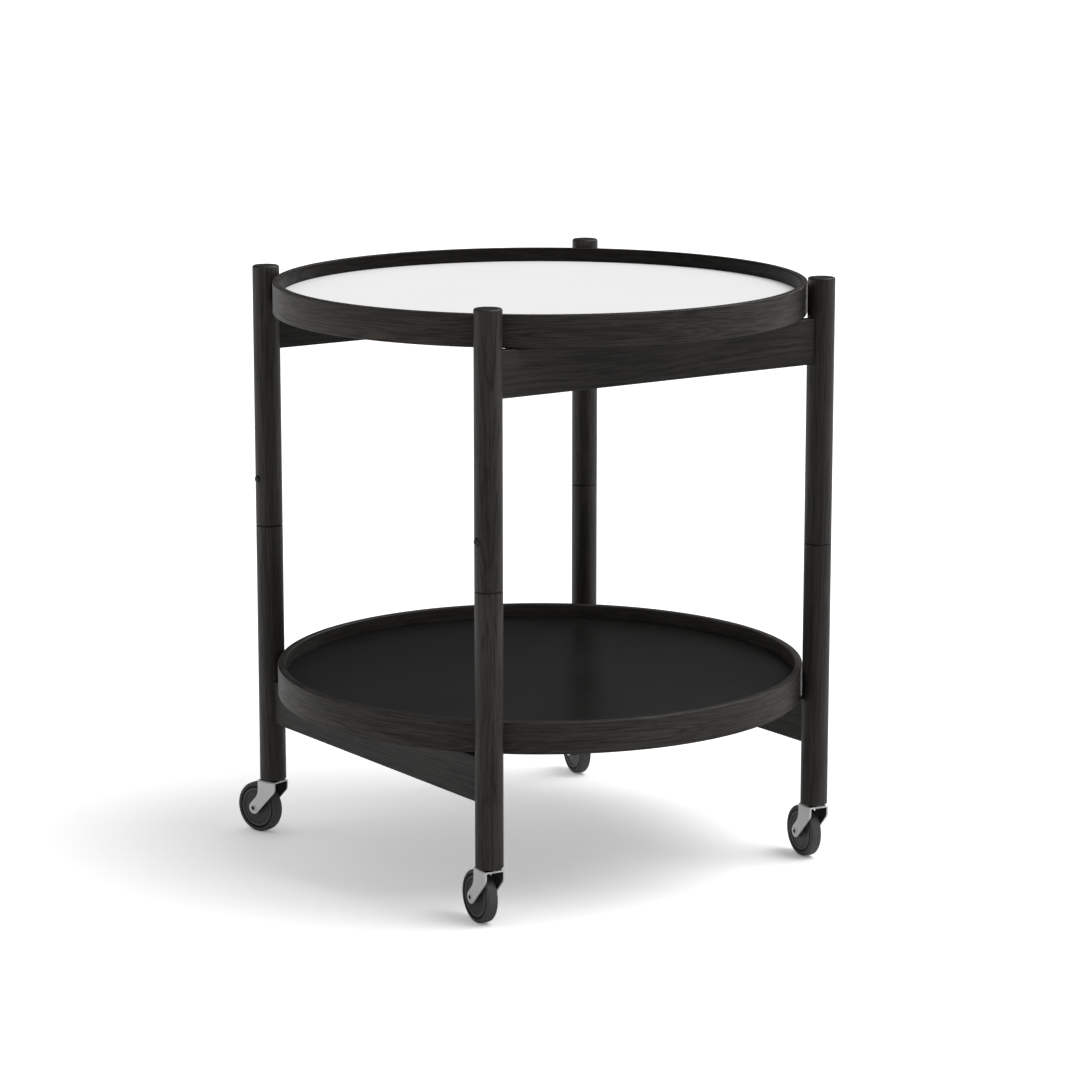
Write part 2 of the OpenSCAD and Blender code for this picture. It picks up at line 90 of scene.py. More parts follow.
class NodeBoard:
    """Adds nodes to one shader tree and joins their sockets."""

    spacing: int = 200

    def __init__(self, tree: NodeTree) -> None:
        """Take the tree that the nodes go into."""
        self.tree = tree

    @classmethod
    def opened(cls, owner: Material | bpy.types.World) -> "NodeBoard":
        """Empty the tree of a material or world.

        Args:
            owner: The material or world.

        Returns:
            Its board.
        """
        owner.use_nodes = True
        owner.node_tree.nodes.clear()
        return cls(owner.node_tree)

    def feed(self, socket: NodeSocket, value: object) -> None:
        """Link a socket to another one, or set its number, colour or vector.

        Args:
            socket: The input.
            value: An output, or the plain value.
        """
        if isinstance(value, NodeSocket):
            self.tree.links.new(value, socket)
        else:
            socket.default_value = value

    def add(self, kind: str, feeds: dict | None = None, **settings: object) -> Node:
        """Add one node.

        Args:
            kind: Blender's name for the node type.
            feeds: What goes into its inputs, by input name or number.
            **settings: The node's own options.

        Returns:
            The new node.
        """
        node = self.tree.nodes.new(kind)
        node.location = (self.spacing * len(self.tree.nodes), 0)
        for name, value in settings.items():
            setattr(node, name, value)
        for key, value in (feeds or {}).items():
            self.feed(node.inputs[key], value)
        return node

    def number_of(self, operation: str, *values: object, clamp: bool = False) -> NodeSocket:
        """Add a Math node and return its result."""
        feeds = dict(enumerate(values))
        return self.add("ShaderNodeMath", feeds, operation=operation, use_clamp=clamp).outputs[0]

    def times(self, first: object, second: object) -> NodeSocket:
        """Multiply two numbers."""
        return self.number_of("MULTIPLY", first, second)

    def vector_of(self, operation: str, *values: object, result: str = "Vector") -> NodeSocket:
        """Add a Vector Math node and return its vector, or the number that it gives as "Value"."""
        feeds = dict(enumerate(values))
        return self.add("ShaderNodeVectorMath", feeds, operation=operation).outputs[result]

    def level(self, vector: object) -> NodeSocket:
        """Drop a vector's Z part."""
        return self.vector_of("MULTIPLY", vector, (1.0, 1.0, 0.0))

    def mix(self, share: object, low: object, high: object) -> NodeSocket:
        """Mix two colours by a share from 0 to 1."""
        return self.add("ShaderNodeMix", {0: share, 6: low, 7: high}, data_type="RGBA").outputs[2]

    def blend(self, share: object, low: object, high: object) -> NodeSocket:
        """Mix two numbers by a share from 0 to 1."""
        return self.add("ShaderNodeMix", {0: share, 2: low, 3: high}, data_type="FLOAT").outputs[0]

    def ramp(
        self, value: object, start: float, end: float, low: object = 0.0, high: object = 1.0
    ) -> NodeSocket:
        """Ease a value from one range into another.

        Args:
            value: The number that goes in.
            start: Where the ramp starts.
            end: Where the ramp ends.
            low: Result up to the start.
            high: Result from the end on.

        Returns:
            The eased value.
        """
        feeds = {0: value, 1: start, 2: end, 3: low, 4: high}
        return self.add("ShaderNodeMapRange", feeds, interpolation_type="SMOOTHSTEP").outputs[0]


class GroupBoard(NodeBoard):
    """A node group under construction, with its named inputs and outputs."""

    def __init__(self, name: str, inputs: dict[str, object], outputs: dict[str, str]) -> None:
        """Open a node group.

        Args:
            name: Name of the group.
            inputs: Start value of each input: a number, a colour of four numbers or a vector of three.
            outputs: Socket type of each output, such as Float or Color.
        """
        super().__init__(bpy.data.node_groups.new(name, "ShaderNodeTree"))
        sockets = self.tree.interface
        for label, start in inputs.items():
            kind = {3: "Vector", 4: "Color"}[len(start)] if isinstance(start, tuple) else "Float"
            socket = sockets.new_socket(name=label, in_out="INPUT", socket_type="NodeSocket" + kind)
            socket.default_value = start
        for label, kind in outputs.items():
            sockets.new_socket(name=label, in_out="OUTPUT", socket_type="NodeSocket" + kind)
        self.entry = self.add("NodeGroupInput").outputs
        self.result = self.add("NodeGroupOutput").inputs

    def close(self, results: dict[str, object]) -> NodeTree:
        """Feed the outputs.

        Args:
            results: What goes into each output.

        Returns:
            The finished group.
        """
        for label, value in results.items():
            self.feed(self.result[label], value)
        return self.tree


@dataclass(frozen=True)
class NoiseLayer:
    """Noise stretched along the grain: waves per metre, finer layers and levels to fade between."""

    across: float
    along: float
    detail: float
    start: float = 0.0
    end: float = 1.0

    def texture(self, board: NodeBoard, place: object) -> Node:
        """Add the noise at a place in metres."""
        scaled = board.vector_of("MULTIPLY", place, (self.across, self.across, self.along))
        return board.add("ShaderNodeTexNoise", {"Vector": scaled, "Scale": 1.0, "Detail": self.detail})

    def share(self, board: NodeBoard, place: object, low: float = 0.0) -> NodeSocket:
        """Add the noise and ease it from a low level up to 1."""
        return board.ramp(self.texture(board, place).outputs[0], self.start, self.end, low)

    def drift(self, board: NodeBoard, place: object) -> NodeSocket:
        """Add the noise as a vector about zero."""
        return board.vector_of("SUBTRACT", self.texture(board, place).outputs[1], (0.5, 0.5, 0.5))


@dataclass(frozen=True)
class WoodFigure:
    """Growth rings, streaks, fibres and pores of open-grained wood, with the grain along Z."""

    slow: NoiseLayer = NoiseLayer(11.0, 3.2, 1.0)
    quick: NoiseLayer = NoiseLayer(90.0, 22.0, 2.0)
    fading: NoiseLayer = NoiseLayer(24.0, 7.0, 1.0, 0.36, 0.56)
    streaks: NoiseLayer = NoiseLayer(480.0, 16.0, 3.0, 0.43, 0.57)
    fibres: NoiseLayer = NoiseLayer(1500.0, 42.0, 2.0, 0.36, 0.64)
    blotches: NoiseLayer = NoiseLayer(20.0, 6.0, 1.0, 0.35, 0.65)
    warmth: NoiseLayer = NoiseLayer(7.0, 2.6, 1.0, 0.48, 0.7)
    holes: NoiseLayer = NoiseLayer(2600.0, 150.0, 1.0, 0.6, 0.68)
    ripple: float = 3 * MM
    ring_rise: float = 0.4
    ring_fall: tuple[float, float] = (0.7, 0.95)
    faintest_ring: float = 0.45
    early_wood: tuple[float, float] = (0.05, 0.5)
    late_pores: float = 0.25
    ring_weight: float = 0.4
    streak_weight: float = 0.32
    fibre_weight: float = 0.28
    blotch_weight: float = 0.1
    warm_weight: float = 0.8
    pore_weight: float = 0.7
    fibre_relief: float = 0.35
    ring_relief: float = 0.4
    rough_between: tuple[float, float] = (0.1, 0.9)
    roughness: tuple[float, float] = (0.5, 0.42)

    def bend(self, group: GroupBoard, place: NodeSocket) -> NodeSocket:
        """Let straight grain sway slowly and ripple quickly.

        Args:
            group: The group under construction.
            place: The place in the straight log.

        Returns:
            The place in the bent one.
        """
        feeds = {0: self.slow.drift(group, place), "Scale": group.entry["Sway"]}
        sway = group.add("ShaderNodeVectorMath", feeds, operation="SCALE").outputs[0]
        ripple = (self.ripple, self.ripple, 0.0)
        ripple = group.vector_of("MULTIPLY", self.quick.drift(group, place), ripple)
        return group.vector_of("ADD", group.vector_of("ADD", place, sway), ripple)

    def rings(
        self, group: GroupBoard, place: NodeSocket, bent: NodeSocket
    ) -> tuple[NodeSocket, NodeSocket]:
        """Draw the growth rings, some fainter than others.

        Args:
            group: The group under construction.
            place: The place in the straight log.
            bent: The place in the bent one.

        Returns:
            The rings, and how far a place is through its own ring.
        """
        radius = group.vector_of("LENGTH", group.level(bent), result="Value")
        years = group.number_of("DIVIDE", radius, group.entry["Ring Width"])
        phase = group.number_of("FRACT", years)
        fall = group.ramp(phase, *self.ring_fall, 1.0, 0.0)
        ring = group.times(group.ramp(phase, 0.0, self.ring_rise), fall)
        year = {"W": group.number_of("FLOOR", years)}
        chance = group.add("ShaderNodeTexWhiteNoise", year, noise_dimensions="1D").outputs[0]
        ring = group.times(ring, group.ramp(chance, 0.0, 1.0, self.faintest_ring))
        return group.times(ring, self.fading.share(group, place, self.faintest_ring)), phase

    def build(self) -> NodeTree:
        """Build the group.

        Returns:
            The group, which puts out colour, roughness and height.
        """
        group = GroupBoard(
            "open_grain",
            {
                "Vector": (0.0, 0.0, 0.0),
                "Ring Width": 0.003,
                "Sway": 0.02,
                "Dark": (0.01, 0.01, 0.01, 1.0),
                "Light": (0.03, 0.03, 0.03, 1.0),
                "Pore Colour": (0.005, 0.005, 0.005, 1.0),
                "Warm": (0.04, 0.03, 0.025, 1.0),
            },
            {"Color": "Color", "Roughness": "Float", "Height": "Float"},
        )
        place = group.entry["Vector"]
        bent = self.bend(group, place)
        ring, phase = self.rings(group, place, bent)
        fibre = self.fibres.share(group, place)
        early = group.ramp(phase, *self.early_wood, 1.0, self.late_pores)
        pore = group.times(self.holes.share(group, place), early)
        figure = group.times(self.streaks.share(group, bent), self.streak_weight)
        figure = group.number_of("MULTIPLY_ADD", ring, self.ring_weight, figure)
        figure = group.number_of("MULTIPLY_ADD", fibre, self.fibre_weight, figure)
        blotch = self.blotches.share(group, place)
        figure = group.number_of("MULTIPLY_ADD", blotch, self.blotch_weight, figure, clamp=True)
        colour = group.mix(figure, group.entry["Dark"], group.entry["Light"])
        warm = group.times(self.warmth.share(group, place), group.times(figure, self.warm_weight))
        colour = group.mix(warm, colour, group.entry["Warm"])
        colour = group.mix(group.times(pore, self.pore_weight), colour, group.entry["Pore Colour"])
        height = group.number_of("SUBTRACT", group.times(fibre, self.fibre_relief), pore)
        height = group.number_of("MULTIPLY_ADD", ring, self.ring_relief, height)
        rough = group.ramp(figure, *self.rough_between, *self.roughness)
        return group.close({"Color": colour, "Roughness": rough, "Height": height})


class EffectLibrary:
    """The node groups that several finishes share, each built once."""

    speckle_levels: tuple[float, float] = (0.3, 0.7)

    def __init__(self) -> None:
        """Build the groups."""
        self.wood = WoodFigure().build()
        self.hoop = self.build_hoop()
        self.speckle = self.build_speckle()

    def build_hoop(self) -> NodeTree:
        """Straighten a bent rim, so that its length runs along Z and starts at the seam.

        Returns:
            The group, which puts out the place on the straight board.
        """
        group = GroupBoard(
            "straightened_hoop",
            {"Vector": (0.0, 0.0, 0.0), "Radius": 0.25, "Seam Turn": 0.0},
            {"Vector": "Vector"},
        )
        feeds = {"Vector": group.entry["Vector"], "Angle": group.entry["Seam Turn"]}
        turned = group.add("ShaderNodeVectorRotate", feeds, rotation_type="Z_AXIS").outputs[0]
        part = group.add("ShaderNodeSeparateXYZ", {0: turned}).outputs
        out = group.vector_of("LENGTH", group.level(turned), result="Value")
        depth = group.number_of("SUBTRACT", out, group.entry["Radius"])
        angle = group.number_of("ARCTAN2", part[1], part[0])
        length = group.times(angle, group.entry["Radius"])
        board = group.add("ShaderNodeCombineXYZ", {0: depth, 1: part[2], 2: length})
        return group.close({"Vector": board.outputs[0]})

    def build_speckle(self) -> NodeTree:
        """Fine even texture of moulded, plated and pressed surfaces, and slow patches over it.

        Returns:
            The group, which puts out both layers.
        """
        group = GroupBoard(
            "fine_speckle",
            {"Vector": (0.0, 0.0, 0.0), "Fine Scale": 2500.0, "Patch Scale": 25.0},
            {"Fine": "Float", "Patch": "Float"},
        )
        results = {}
        for label, detail in (("Fine", 2.0), ("Patch", 3.0)):
            scale = group.entry[f"{label} Scale"]
            feeds = {"Vector": group.entry["Vector"], "Scale": scale, "Detail": detail}
            cloud = group.add("ShaderNodeTexNoise", feeds)
            results[label] = group.ramp(cloud.outputs[0], *self.speckle_levels)
        return group.close(results)


class Grain(Enum):
    """Way in which the fibres of a wooden piece run, as the turn in degrees that lays them along Z."""

    UPRIGHT = (0.0, 0.0, 0.0)
    ALONG_X = (0.0, -90.0, 0.0)
    ALONG_Y = (90.0, 0.0, 0.0)
    ROUND_RIM = (0.0, 0.0, 45.0)


@dataclass(frozen=True)
class Finish:
    """What every finish has: a name, the shared effects and an empty material to fill."""

    name: str
    effects: EffectLibrary

    def start(self) -> tuple[Material, NodeBoard, Node, NodeSocket]:
        """Open a material with nothing in it but its shader.

        Returns:
            The material, its board, its Principled shader and the Object coordinates.
        """
        material = bpy.data.materials.new(self.name)
        board = NodeBoard.opened(material)
        shader = board.add("ShaderNodeBsdfPrincipled")
        board.add("ShaderNodeOutputMaterial", {"Surface": shader.outputs[0]})
        return material, board, shader, board.add("ShaderNodeTexCoord").outputs["Object"]

    @staticmethod
    def emboss(
        board: NodeBoard, shader: Node, height: NodeSocket, strength: float, depth: float
    ) -> None:
        """Raise the surface by a height.

        Args:
            board: The material's board.
            shader: The shader whose normal is bent.
            height: Height from 0 to 1.
            strength: Share of the full effect.
            depth: Size of a height of 1, in metres.
        """
        feeds = {"Strength": strength, "Distance": depth, "Height": height}
        board.feed(shader.inputs["Normal"], board.add("ShaderNodeBump", feeds).outputs[0])


@dataclass(frozen=True)
class StainedWood(Finish):
    """Open-grained wood under a black stain and matt oil."""

    centre: Vector
    pith: Vector
    tilt: tuple[float, float]
    ring_width: float
    grain: Grain = Grain.UPRIGHT
    sway: float = 12 * MM
    # Lightness factor on every tone: partly the stain's own tone, partly painted light and shade set per
    # piece for how it is lit.
    lightness_and_painted_light: float = 1.0
    dark: str = "0e0d0b"
    light: str = "3e3a34"
    warm: str = "403b36"
    pore: str = "0c0b0a"
    specular: float = 0.5
    relief: float = 0.35
    relief_depth: float = 0.12 * MM
    hoop_radius: float = 0.25
    end_height: float | None = None
    end_reach: tuple[float, float] = (0.5 * MM, 0.05 * MM)
    end_tone: str = "050505"
    end_share: float = 0.92
    end_roughness: float = 0.7

    def soak_end(
        self, board: NodeBoard, place: NodeSocket, wood: Node
    ) -> tuple[NodeSocket, NodeSocket, NodeSocket]:
        """Darken, dull and level the end grain on top of an upright piece.

        Args:
            board: The material's board.
            place: The Object coordinates.
            wood: The node of the wood's group.

        Returns:
            The colour, the roughness and the height.
        """
        colour, rough, relief = (wood.outputs[label] for label in ("Color", "Roughness", "Height"))
        if self.end_height is None:
            return colour, rough, relief
        height = board.add("ShaderNodeSeparateXYZ", {0: place}).outputs[2]
        end = board.ramp(height, *(self.end_height - reach for reach in self.end_reach))
        colour = board.mix(board.times(end, self.end_share), colour, tone(self.end_tone))
        rough = board.ramp(end, 0.0, 1.0, rough, self.end_roughness)
        return colour, rough, board.ramp(end, 0.0, 1.0, relief, 0.0)

    def build(self) -> Material:
        """Make the material, with its own cut of the log.

        Returns:
            The material.
        """
        material, board, shader, place = self.start()
        turn = Euler(radians(*self.grain.value))
        along = place
        if self.grain is Grain.ROUND_RIM:
            feeds = {"Vector": place, "Radius": self.hoop_radius, "Seam Turn": turn.z}
            along = board.add("ShaderNodeGroup", feeds, node_tree=self.effects.hoop).outputs[0]
            turn = Euler((0.0, 0.0, 0.0))
        lean = Euler(radians(*self.tilt, 0.0)).to_matrix()
        turn = (lean @ turn.to_matrix()).to_euler()
        move = self.pith - turn.to_matrix() @ self.centre
        feeds = {"Vector": along, "Location": move, "Rotation": turn}
        mapping = board.add("ShaderNodeMapping", feeds)
        feeds = {
            "Vector": mapping.outputs[0],
            "Ring Width": self.ring_width,
            "Sway": self.sway,
            "Dark": tone(self.dark, self.lightness_and_painted_light),
            "Light": tone(self.light, self.lightness_and_painted_light),
            "Pore Colour": tone(self.pore, self.lightness_and_painted_light),
            "Warm": tone(self.warm, self.lightness_and_painted_light),
        }
        wood = board.add("ShaderNodeGroup", feeds, node_tree=self.effects.wood)
        colour, rough, relief = self.soak_end(board, place, wood)
        board.feed(shader.inputs["Base Color"], colour)
        board.feed(shader.inputs["Roughness"], rough)
        shader.inputs["Specular IOR Level"].default_value = self.specular
        self.emboss(board, shader, relief, self.relief, self.relief_depth)
        return material


@dataclass(frozen=True)
class SpeckledFinish(Finish):
    """A smooth made surface: board, laminate, plastic, rubber or metal."""

    dark: str
    light: str
    roughness: tuple[float, float]
    specular: float = 0.5
    metallic: float = 0.0
    fine_scale: float = 2500.0
    patch_scale: float = 25.0
    patch_share: float = 0.6
    bump: float = 0.1
    bump_depth: float = 0.02 * MM
    painted_highlight: str | None = None

    def build(self) -> Material:
        """Make the material from the speckle's two layers, with a lighter tone painted on as a highlight
        by the share that a mesh attribute gives.

        Returns:
            The material.
        """
        material, board, shader, place = self.start()
        feeds = {"Vector": place, "Fine Scale": self.fine_scale, "Patch Scale": self.patch_scale}
        speckle = board.add("ShaderNodeGroup", feeds, node_tree=self.effects.speckle)
        fine, patch = speckle.outputs["Fine"], speckle.outputs["Patch"]
        share = board.times(fine, 1.0 - self.patch_share)
        share = board.number_of("MULTIPLY_ADD", patch, self.patch_share, share)
        colour = board.mix(share, tone(self.dark), tone(self.light))
        if self.painted_highlight:
            # The lighter tone goes where the mesh attribute says: a painted highlight.
            painted_highlight_share = board.add("ShaderNodeAttribute", attribute_type="GEOMETRY", attribute_name="painted_highlight_share")
            colour = board.mix(painted_highlight_share.outputs["Fac"], colour, tone(self.painted_highlight))
        board.feed(shader.inputs["Base Color"], colour)
        board.feed(shader.inputs["Roughness"], board.ramp(patch, 0.0, 1.0, *self.roughness))
        shader.inputs["Metallic"].default_value = self.metallic
        shader.inputs["Specular IOR Level"].default_value = self.specular
        self.emboss(board, shader, fine, self.bump, self.bump_depth)
        return material


@dataclass(frozen=True)
class Corner:
    """One corner of an outline, and the radius that rounds it."""

    across: float
    along: float
    radius: float = 0.0


def mirrored(half: Sequence[Corner]) -> tuple[Corner, ...]:
    """The other half of an outline, past 0 and in reverse order."""
    return tuple(Corner(c.across, -c.along, c.radius) for c in reversed(half))


@dataclass(frozen=True)
class Lathe:
    """Turns an outline about the Z axis, as on a lathe or in a round mould."""

    corners: Sequence[Corner]
    steps: int
    arc_steps: int = 5

    def spin(self, painted_highlight: Callable[[float, float], float] | None = None) -> BMesh:
        """Round the outline's corners and spin it once round.

        Args:
            painted_highlight: Gives the share of the lighter tone, a painted highlight, at a distance
                from the axis and a height.

        Returns:
            The mesh, with those shares of painted highlight as a mesh attribute.
        """
        mesh = bmesh.new()
        edges = draw_outline(mesh, self.corners, self.arc_steps, UPRIGHT)
        bmesh.ops.spin(
            mesh,
            geom=edges + list(mesh.verts),
            cent=(0, 0, 0),
            axis=(0, 0, 1),
            dvec=(0, 0, 0),
            angle=math.tau,
            steps=self.steps,
            use_merge=True,
            use_duplicate=False,
        )
        bmesh.ops.remove_doubles(mesh, verts=mesh.verts, dist=MERGE)
        # These shares place a painted highlight.
        if painted_highlight:
            layer = mesh.verts.layers.float.new("painted_highlight_share")
            for vert in mesh.verts:
                vert[layer] = painted_highlight(math.hypot(vert.co.x, vert.co.y), abs(vert.co.z))
        return mesh


def round_off(
    mesh: BMesh,
    geom: Sequence[BMVert | BMEdge],
    width: float,
    segments: int,
    affect: str = "EDGES",
    clamp: bool = False,
) -> list[BMVert]:
    """Round edges or corners with a bevel.

    Args:
        mesh: The mesh.
        geom: The edges or corners.
        width: Width that the rounding takes from each side.
        segments: Number of steps across the rounding.
        affect: EDGES or VERTICES.
        clamp: Whether the width gives way where two roundings meet.

    Returns:
        The new vertices.
    """
    made = bmesh.ops.bevel(
        mesh,
        geom=geom,
        offset=width,
        offset_type="OFFSET",
        affect=affect,
        segments=segments,
        profile=0.5,
        material=-1,
        clamp_overlap=clamp,
    )
    return made["verts"]


def draw_outline(
    mesh: BMesh, corners: Sequence[Corner], arc_steps: int, place: Matrix
) -> list[BMEdge]:
    """Draw a flat outline and round its corners.

    Args:
        mesh: Mesh that takes the outline.
        corners: The outline's corners in order.
        arc_steps: Edges along each rounded corner.
        place: Where the outline's plane lies.

    Returns:
        The outline's edges, with no face between them.
    """
    verts = [mesh.verts.new(place @ Vector((c.across, c.along, 0.0))) for c in corners]
    face = mesh.faces.new(verts)
    for vert, corner in zip(verts, corners):
        if corner.radius:
            reach = corner.radius / math.tan(vert.link_loops[0].calc_angle() / 2)
            face = round_off(mesh, [vert], reach, arc_steps, "VERTICES")[0].link_faces[0]
    edges = list(face.edges)
    bmesh.ops.delete(mesh, geom=[face], context="FACES_ONLY")
    return edges


def to_data(mesh: BMesh, name: str) -> bpy.types.Mesh:
    """Turn a mesh under construction, which is used up, into mesh data.

    Args:
        mesh: The mesh under construction.
        name: Name of the data.

    Returns:
        The data.
    """
    data = bpy.data.meshes.new(name)
    mesh.to_mesh(data)
    mesh.free()
    return data


def to_scene(name: str, data: bpy.types.ID) -> bpy.types.Object:
    """Put data into the scene.

    Args:
        name: Name of the object.
        data: Mesh, camera or lamp.

    Returns:
        The object.
    """
    item = bpy.data.objects.new(name, data)
    bpy.context.scene.collection.objects.link(item)
    return item


@dataclass(frozen=True)
class Piece:
    """A new piece: what it is called, which body it rides on and what it stands for."""

    name: str
    body: str
    nodes: tuple[str, ...]
    slot: str
    material: Material

    def place(self, mesh: BMesh, where: Matrix = Matrix.Identity(4)) -> bpy.types.Object:
        """Turn a mesh into this piece.

        Args:
            mesh: The finished mesh, which is used up.
            where: Place of the mesh in the frame.

        Returns:
            The piece's object, with its place in its mesh.
        """
        bmesh.ops.transform(mesh, matrix=where, verts=mesh.verts)
        bmesh.ops.recalc_face_normals(mesh, faces=mesh.faces)
        data = to_data(mesh, self.name)
        data.polygons.foreach_set("use_smooth", [True] * len(data.polygons))
        data.materials.append(self.material)
        piece = to_scene(self.name, data)
        weigh = piece.modifiers.new("even_shading", "WEIGHTED_NORMAL")
        weigh.keep_sharp = True
        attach(piece, self.body)
        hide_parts(*self.nodes)
        log.info("piece %s: %d faces on %s", self.name, len(data.polygons), self.body)
        return piece


def dress(nodes: Iterable[str], material: Material) -> None:
    """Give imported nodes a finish.

    Args:
        nodes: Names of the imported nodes.
        material: The finish.
    """
    for name in nodes:
        item = frame["nodes"][name]
        item.data.materials.clear()
        item.data.materials.append(material)
        log.info("node %s: %s", name, material.name)


def joint_place(name: str) -> Vector:
    """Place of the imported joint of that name."""
    return Vector(next(j for j in frame["joints"] if j["name"] == name)["pos_m"])


def middle_of(node: str) -> Vector:
    """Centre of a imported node's box."""
    low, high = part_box(node)
    return (low + high) / 2


@dataclass(frozen=True)
class FoldingFrame:
    """Legs and rails of stained wood, with their pins, washers, sockets and stems."""

    effects: EffectLibrary
    leg_pith: float = 40 * MM
    leg_ring: float = 2.3 * MM
    log_start: float = 0.37
    log_step: float = 0.9
    rail_pith: tuple[float, float] = (14 * MM, 32 * MM)
    rail_ring: float = 3.4 * MM
    rail_tilt: tuple[float, float] = (0.9, 0.6)
    rail_sway: float = 26 * MM
    rail_specular: float = 0.35

    def legs(self) -> None:
        """Finish the eight leg halves, each as its own cut from a slightly leaning log.

        A cut gives the pith's heading and the log's lean in degrees, and a lightness factor that is
        partly the stain's tone and partly painted light and shade for how brightly each half is lit.
        The four cuts of a half stand in the order of SIDES.
        """
        cuts = {
            "upper": ((148, 0.8, 1.2), (238, 2.6, 1.0), (165, 1.2, 0.85), (235, 1.5, 1.0)),
            "lower": ((170, -1.0, 1.12), (222, -1.8, 1.2), (150, 1.6, 0.9), (60, 1.0, 0.9)),
        }
        for half, of_half in cuts.items():
            for order, (side, (heading, lean, lightness_and_painted_light)) in enumerate(zip(SIDES, of_half)):
                node = f"{half}_leg_{side}"
                east, north = math.cos(math.radians(heading)), math.sin(math.radians(heading))
                along = self.log_step * order + self.log_start
                wood = StainedWood(
                    f"stained_wood_{node}",
                    self.effects,
                    centre=middle_of(node),
                    pith=Vector((self.leg_pith * east, self.leg_pith * north, along)),
                    tilt=(-lean * north, lean * east),
                    ring_width=self.leg_ring,
                    lightness_and_painted_light=lightness_and_painted_light,
                    end_height=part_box(node)[1].z,
                )
                dress([node], wood.build())

    def rails(self) -> None:
        """Finish the four rails, with the figure of boards cut near the pith.

        A cut gives the grain's direction, the place along the log and a lightness factor that is partly
        the stain's tone and partly painted shade for how each rail is lit.
        """
        cuts = {
            "upper_front_rail": (Grain.ALONG_X, 0.0, 0.9),
            "upper_back_rail": (Grain.ALONG_X, 0.7, 0.75),
            "lower_left_rail": (Grain.ALONG_Y, 1.4, 0.6),
            "lower_right_rail": (Grain.ALONG_Y, 2.1, 0.6),
        }
        for node, (grain, along, lightness_and_painted_light) in cuts.items():
            wood = StainedWood(
                f"stained_wood_{node}",
                self.effects,
                grain=grain,
                centre=middle_of(node),
                pith=Vector((*self.rail_pith, along)),
                tilt=self.rail_tilt,
                ring_width=self.rail_ring,
                sway=self.rail_sway,
                lightness_and_painted_light=lightness_and_painted_light,
                specular=self.rail_specular,
            )
            dress([node], wood.build())

    def small_parts(self) -> None:
        """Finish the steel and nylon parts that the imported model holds."""
        steel = {"metallic": 1.0}
        turned = {"metallic": 1.0, "fine_scale": 900.0}
        burnished = {"metallic": 1.0, "patch_scale": 200.0}
        finishes = {
            "pivot_pin": ("turned_steel", "8c8c8d", "b4b4b6", (0.25, 0.38), turned),
            "pivot_washer": ("black_nylon", "0c0c0c", "161616", (0.5, 0.62), {"specular": 0.3}),
            "castor_socket": ("zinc_plated_socket", "9b9b9c", "c4c5c7", (0.3, 0.42), steel),
            "castor_stem": ("burnished_steel", "2a2a2b", "3e3e3f", (0.3, 0.45), burnished),
        }
        for kind, (name, dark, light, roughness, extras) in finishes.items():
            finish = SpeckledFinish(name, self.effects, dark, light, roughness, **extras)
            dress([f"{kind}_{side}" for side in SIDES], finish.build())

    def build(self) -> None:
        """Finish the whole frame."""
        self.legs()
        self.rails()
        self.small_parts()


@dataclass(frozen=True)
class LockScrews:
    """Two domed screws with a round key recess, one in each upper leg half of a pair."""

    name: str
    node: str
    body: str
    sides: tuple[str, str]
    material: Material
    head_rise: float = 2.3 * MM
    head_edge: float = 0.2 * MM
    dome_radius: float = 1.9 * MM
    shank_radius: float = 2 * MM
    tip_round: float = 0.3 * MM
    tip_place: float = 3.05 * MM
    key_radius: float = 1.44 * MM
    key_depth: float = 1.2 * MM
    key_mouth: float = 0.25 * MM
    key_edge: float = 0.08 * MM
    key_taper: float = 0.98

    def one(self, length: float, head_radius: float) -> BMesh:
        """Model a screw along Z with its tip at 0.

        Args:
            length: From the tip to the top of the head.
            head_radius: Radius of the head.

        Returns:
            The screw's mesh.
        """
        seat = length - self.head_rise
        ring = self.key_radius + self.key_mouth
        key = length - self.key_depth
        screw = Lathe(
            (
                Corner(0.0, 0.0),
                Corner(self.shank_radius, 0.0, self.tip_round),
                Corner(self.shank_radius, seat),
                Corner(head_radius, seat, self.head_edge),
                Corner(head_radius, length, self.dome_radius),
                Corner(ring, length, self.key_edge),
                Corner(ring * self.key_taper, key),
                Corner(0.0, key),
            ),
            steps=48,
        )
        return screw.spin()

    def build(self) -> None:
        """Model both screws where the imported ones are."""
        low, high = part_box(self.node)
        head_radius = (high.z - low.z) / 2
        pair = bmesh.new()
        for side, outward in zip(self.sides, (-1, 1)):
            leg = joint_place(f"castor_swivel_{side}")
            tip = Vector((leg.x + outward * self.tip_place, leg.y, (low.z + high.z) / 2))
            top = low.x if outward < 0 else high.x
            turn = Matrix.Rotation(math.radians(90 * outward), 4, "Y")
            screw = self.one(abs(top - tip.x), head_radius)
            bmesh.ops.transform(screw, matrix=Matrix.Translation(tip) @ turn, verts=screw.verts)
            spare = to_data(screw, "screw")
            pair.from_mesh(spare)
            bpy.data.meshes.remove(spare)
        piece = Piece(self.name, self.body, (self.node,), "black_screw_steel", self.material)
        piece.place(pair)


